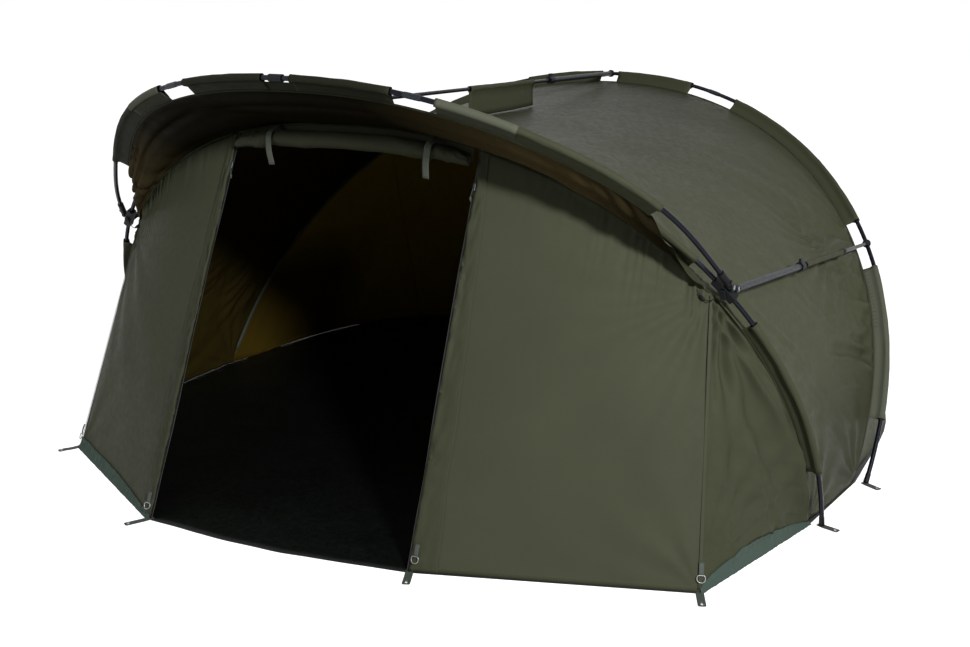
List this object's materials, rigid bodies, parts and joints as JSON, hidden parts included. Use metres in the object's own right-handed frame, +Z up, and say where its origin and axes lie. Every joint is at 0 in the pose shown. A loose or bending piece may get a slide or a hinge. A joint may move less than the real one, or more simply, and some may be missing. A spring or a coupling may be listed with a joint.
{
  "type": "bivvy tent",
  "caption": "Pitched arched bivvy tent with a forward peak, telescopic tension bars, a rolled-up front door and a flat groundsheet.",
  "frame": {"origin": "on the ground, under the middle of the pitched tent's bounding box", "axes": "+Z up, the doorway faces -Y, and +X is to the right for someone looking along +Y into the doorway"},
  "size_m": [3.1518, 3.0249, 1.4637],
  "materials": {
    "canopy_cloth": "coated olive woven cloth, slightly shiny",
    "peak_cloth": "coated dark olive woven cloth",
    "sleeve_cloth": "coated olive woven cloth, doubled",
    "groundsheet_cloth": "heavy black coated cloth",
    "webbing": "woven polyester webbing",
    "pole_metal": "near-black anodised tube",
    "bar_metal": "satin blue-grey tube",
    "moulded_plastic": "black glass-filled nylon",
    "steel_fittings": "plated steel"
  },
  "bodies": {
    "root": {"groundsheet": "groundsheet_cloth", "main_foot_strap_right": "webbing", "main_foot_strap_left": "webbing", "rear_foot_strap_right": "webbing", "rear_foot_strap_left": "webbing", "door_strap_right": "webbing", "door_strap_left": "webbing", "corner_strap_right": "webbing", "corner_strap_left": "webbing", "main_arc_pole": "pole_metal", "leg_pole_right": "pole_metal", "leg_pole_left": "pole_metal", "leg_sleeve_right": "sleeve_cloth", "leg_sleeve_left": "sleeve_cloth", "main_sleeve": "sleeve_cloth", "main_tee": "moulded_plastic", "hub_right": "moulded_plastic", "hub_left": "moulded_plastic", "peak_pin_right": "steel_fittings", "peak_pin_left": "steel_fittings", "bar_pin_right": "steel_fittings", "bar_pin_left": "steel_fittings", "front_panel_right": "canopy_cloth", "front_panel_left": "canopy_cloth", "wing_panel_right": "canopy_cloth", "wing_panel_left": "canopy_cloth", "rolled_door": "canopy_cloth", "roof_panel": "canopy_cloth", "side_panel_right": "canopy_cloth", "side_panel_left": "canopy_cloth", "peak_canopy": "peak_cloth"},
    "rear_rib": {"rear_rib_pole": "pole_metal", "rear_sleeve": "sleeve_cloth", "rear_tee_centre": "moulded_plastic", "rear_tee_right": "moulded_plastic", "rear_tee_left": "moulded_plastic", "back_panel_centre": "canopy_cloth", "back_panel_right": "canopy_cloth", "back_panel_left": "canopy_cloth"},
    "peak_rib": {"peak_rib_pole": "pole_metal", "peak_sleeve": "sleeve_cloth", "peak_ferrule": "moulded_plastic", "peak_knuckle_right": "moulded_plastic", "peak_knuckle_left": "moulded_plastic"},
    "centre_rod": {"centre_rod": "pole_metal", "centre_cover": "sleeve_cloth"},
    "centre_tube": {"centre_tube": "bar_metal"},
    "centre_lock": {"centre_lock": "moulded_plastic"},
    "side_tube_right": {"side_tube_right": "bar_metal"},
    "side_rod_right": {"side_rod_right": "pole_metal", "side_cover_right": "sleeve_cloth"},
    "side_lock_right": {"side_lock_right": "moulded_plastic"},
    "zip_slider_right": {"zip_slider_right": "steel_fittings"},
    "corner_clip_right": {"corner_clip_right": "moulded_plastic"},
    "side_tube_left": {"side_tube_left": "bar_metal"},
    "side_rod_left": {"side_rod_left": "pole_metal", "side_cover_left": "sleeve_cloth"},
    "side_lock_left": {"side_lock_left": "moulded_plastic"},
    "zip_slider_left": {"zip_slider_left": "steel_fittings"},
    "corner_clip_left": {"corner_clip_left": "moulded_plastic"}
  },
  "joints": [
    {"name": "rear_rib_fold", "type": "hinge", "parent": "root", "child": "rear_rib", "pos_m": [0, 0.0845, 0], "axis": [1, 0, 0], "range_deg": [0, 18], "deforming": ["roof_panel", "side_panel_right", "side_panel_left"]},
    {"name": "peak_rib_fold", "type": "hinge", "parent": "root", "child": "peak_rib", "pos_m": [0, -0.71147, 0.85388], "axis": [-1, 0, 0], "range_deg": [0, 36], "deforming": ["peak_canopy"]},
    {"name": "centre_bar_swing", "type": "hinge", "parent": "root", "child": "centre_rod", "pos_m": [0, -0.8898, 1.35625], "axis": [1, 0, 0], "range_deg": [0, 9.3]},
    {"name": "centre_tube_slide", "type": "slide", "parent": "centre_rod", "child": "centre_tube", "axis": [0, -1, 0.0038], "range_m": [0, 0.45], "deforming": ["centre_cover"]},
    {"name": "centre_lock_twist", "type": "hinge", "parent": "centre_tube", "child": "centre_lock", "pos_m": [0, -0.8898, 1.35625], "axis": [0, 1, -0.0038], "range_deg": [-45, 45]},
    {"name": "side_bar_swing_right", "type": "hinge", "parent": "root", "child": "side_tube_right", "pos_m": [1.25646, -0.67762, 0.84395], "axis": [0.9943, -0.051, -0.094], "range_deg": [0, 6.75]},
    {"name": "side_rod_slide_right", "type": "slide", "parent": "side_tube_right", "child": "side_rod_right", "axis": [-0.0452, -0.997, 0.0628], "range_m": [0, 0.265], "deforming": ["side_cover_right"]},
    {"name": "side_lock_twist_right", "type": "hinge", "parent": "side_tube_right", "child": "side_lock_right", "pos_m": [1.25646, -0.67762, 0.84395], "axis": [0.0452, 0.997, -0.0628], "range_deg": [-45, 45]},
    {"name": "corner_clip_swing_right", "type": "hinge", "parent": "root", "child": "corner_clip_right", "pos_m": [1.23032, -0.72443, 0.83587], "axis": [0, 0.9191, 0.3939], "range_deg": [-60, 60]},
    {"name": "side_bar_swing_left", "type": "hinge", "parent": "root", "child": "side_tube_left", "pos_m": [-1.25646, -0.67762, 0.84395], "axis": [0.9943, 0.051, 0.094], "range_deg": [0, 6.75]},
    {"name": "side_rod_slide_left", "type": "slide", "parent": "side_tube_left", "child": "side_rod_left", "axis": [0.0452, -0.997, 0.0628], "range_m": [0, 0.265], "deforming": ["side_cover_left"]},
    {"name": "side_lock_twist_left", "type": "hinge", "parent": "side_tube_left", "child": "side_lock_left", "pos_m": [-1.25646, -0.67762, 0.84395], "axis": [-0.0452, 0.997, -0.0628], "range_deg": [-45, 45]},
    {"name": "corner_clip_swing_left", "type": "hinge", "parent": "root", "child": "corner_clip_left", "pos_m": [-1.23032, -0.72443, 0.83587], "axis": [0, 0.9191, 0.3939], "range_deg": [-60, 60]},
    {"name": "zip_slide_right", "type": "slide", "parent": "root", "child": "zip_slider_right", "axis": [0.0025, -0.3376, -0.9413], "range_m": [0, 1.13]},
    {"name": "zip_slide_left", "type": "slide", "parent": "root", "child": "zip_slider_left", "axis": [0.0169, -0.4127, -0.9107], "range_m": [0, 1.17]}
  ],
  "couplings": [
    {"joint": "centre_bar_swing", "follows": "rear_rib_fold", "ratio": 0.51608},
    {"joint": "centre_tube_slide", "follows": "rear_rib_fold", "m_per_rad": 1.4257},
    {"joint": "side_bar_swing_right", "follows": "rear_rib_fold", "ratio": 0.37243},
    {"joint": "side_rod_slide_right", "follows": "rear_rib_fold", "m_per_rad": 0.84},
    {"joint": "side_bar_swing_left", "follows": "rear_rib_fold", "ratio": 0.37243},
    {"joint": "side_rod_slide_left", "follows": "rear_rib_fold", "m_per_rad": 0.84}
  ]
}
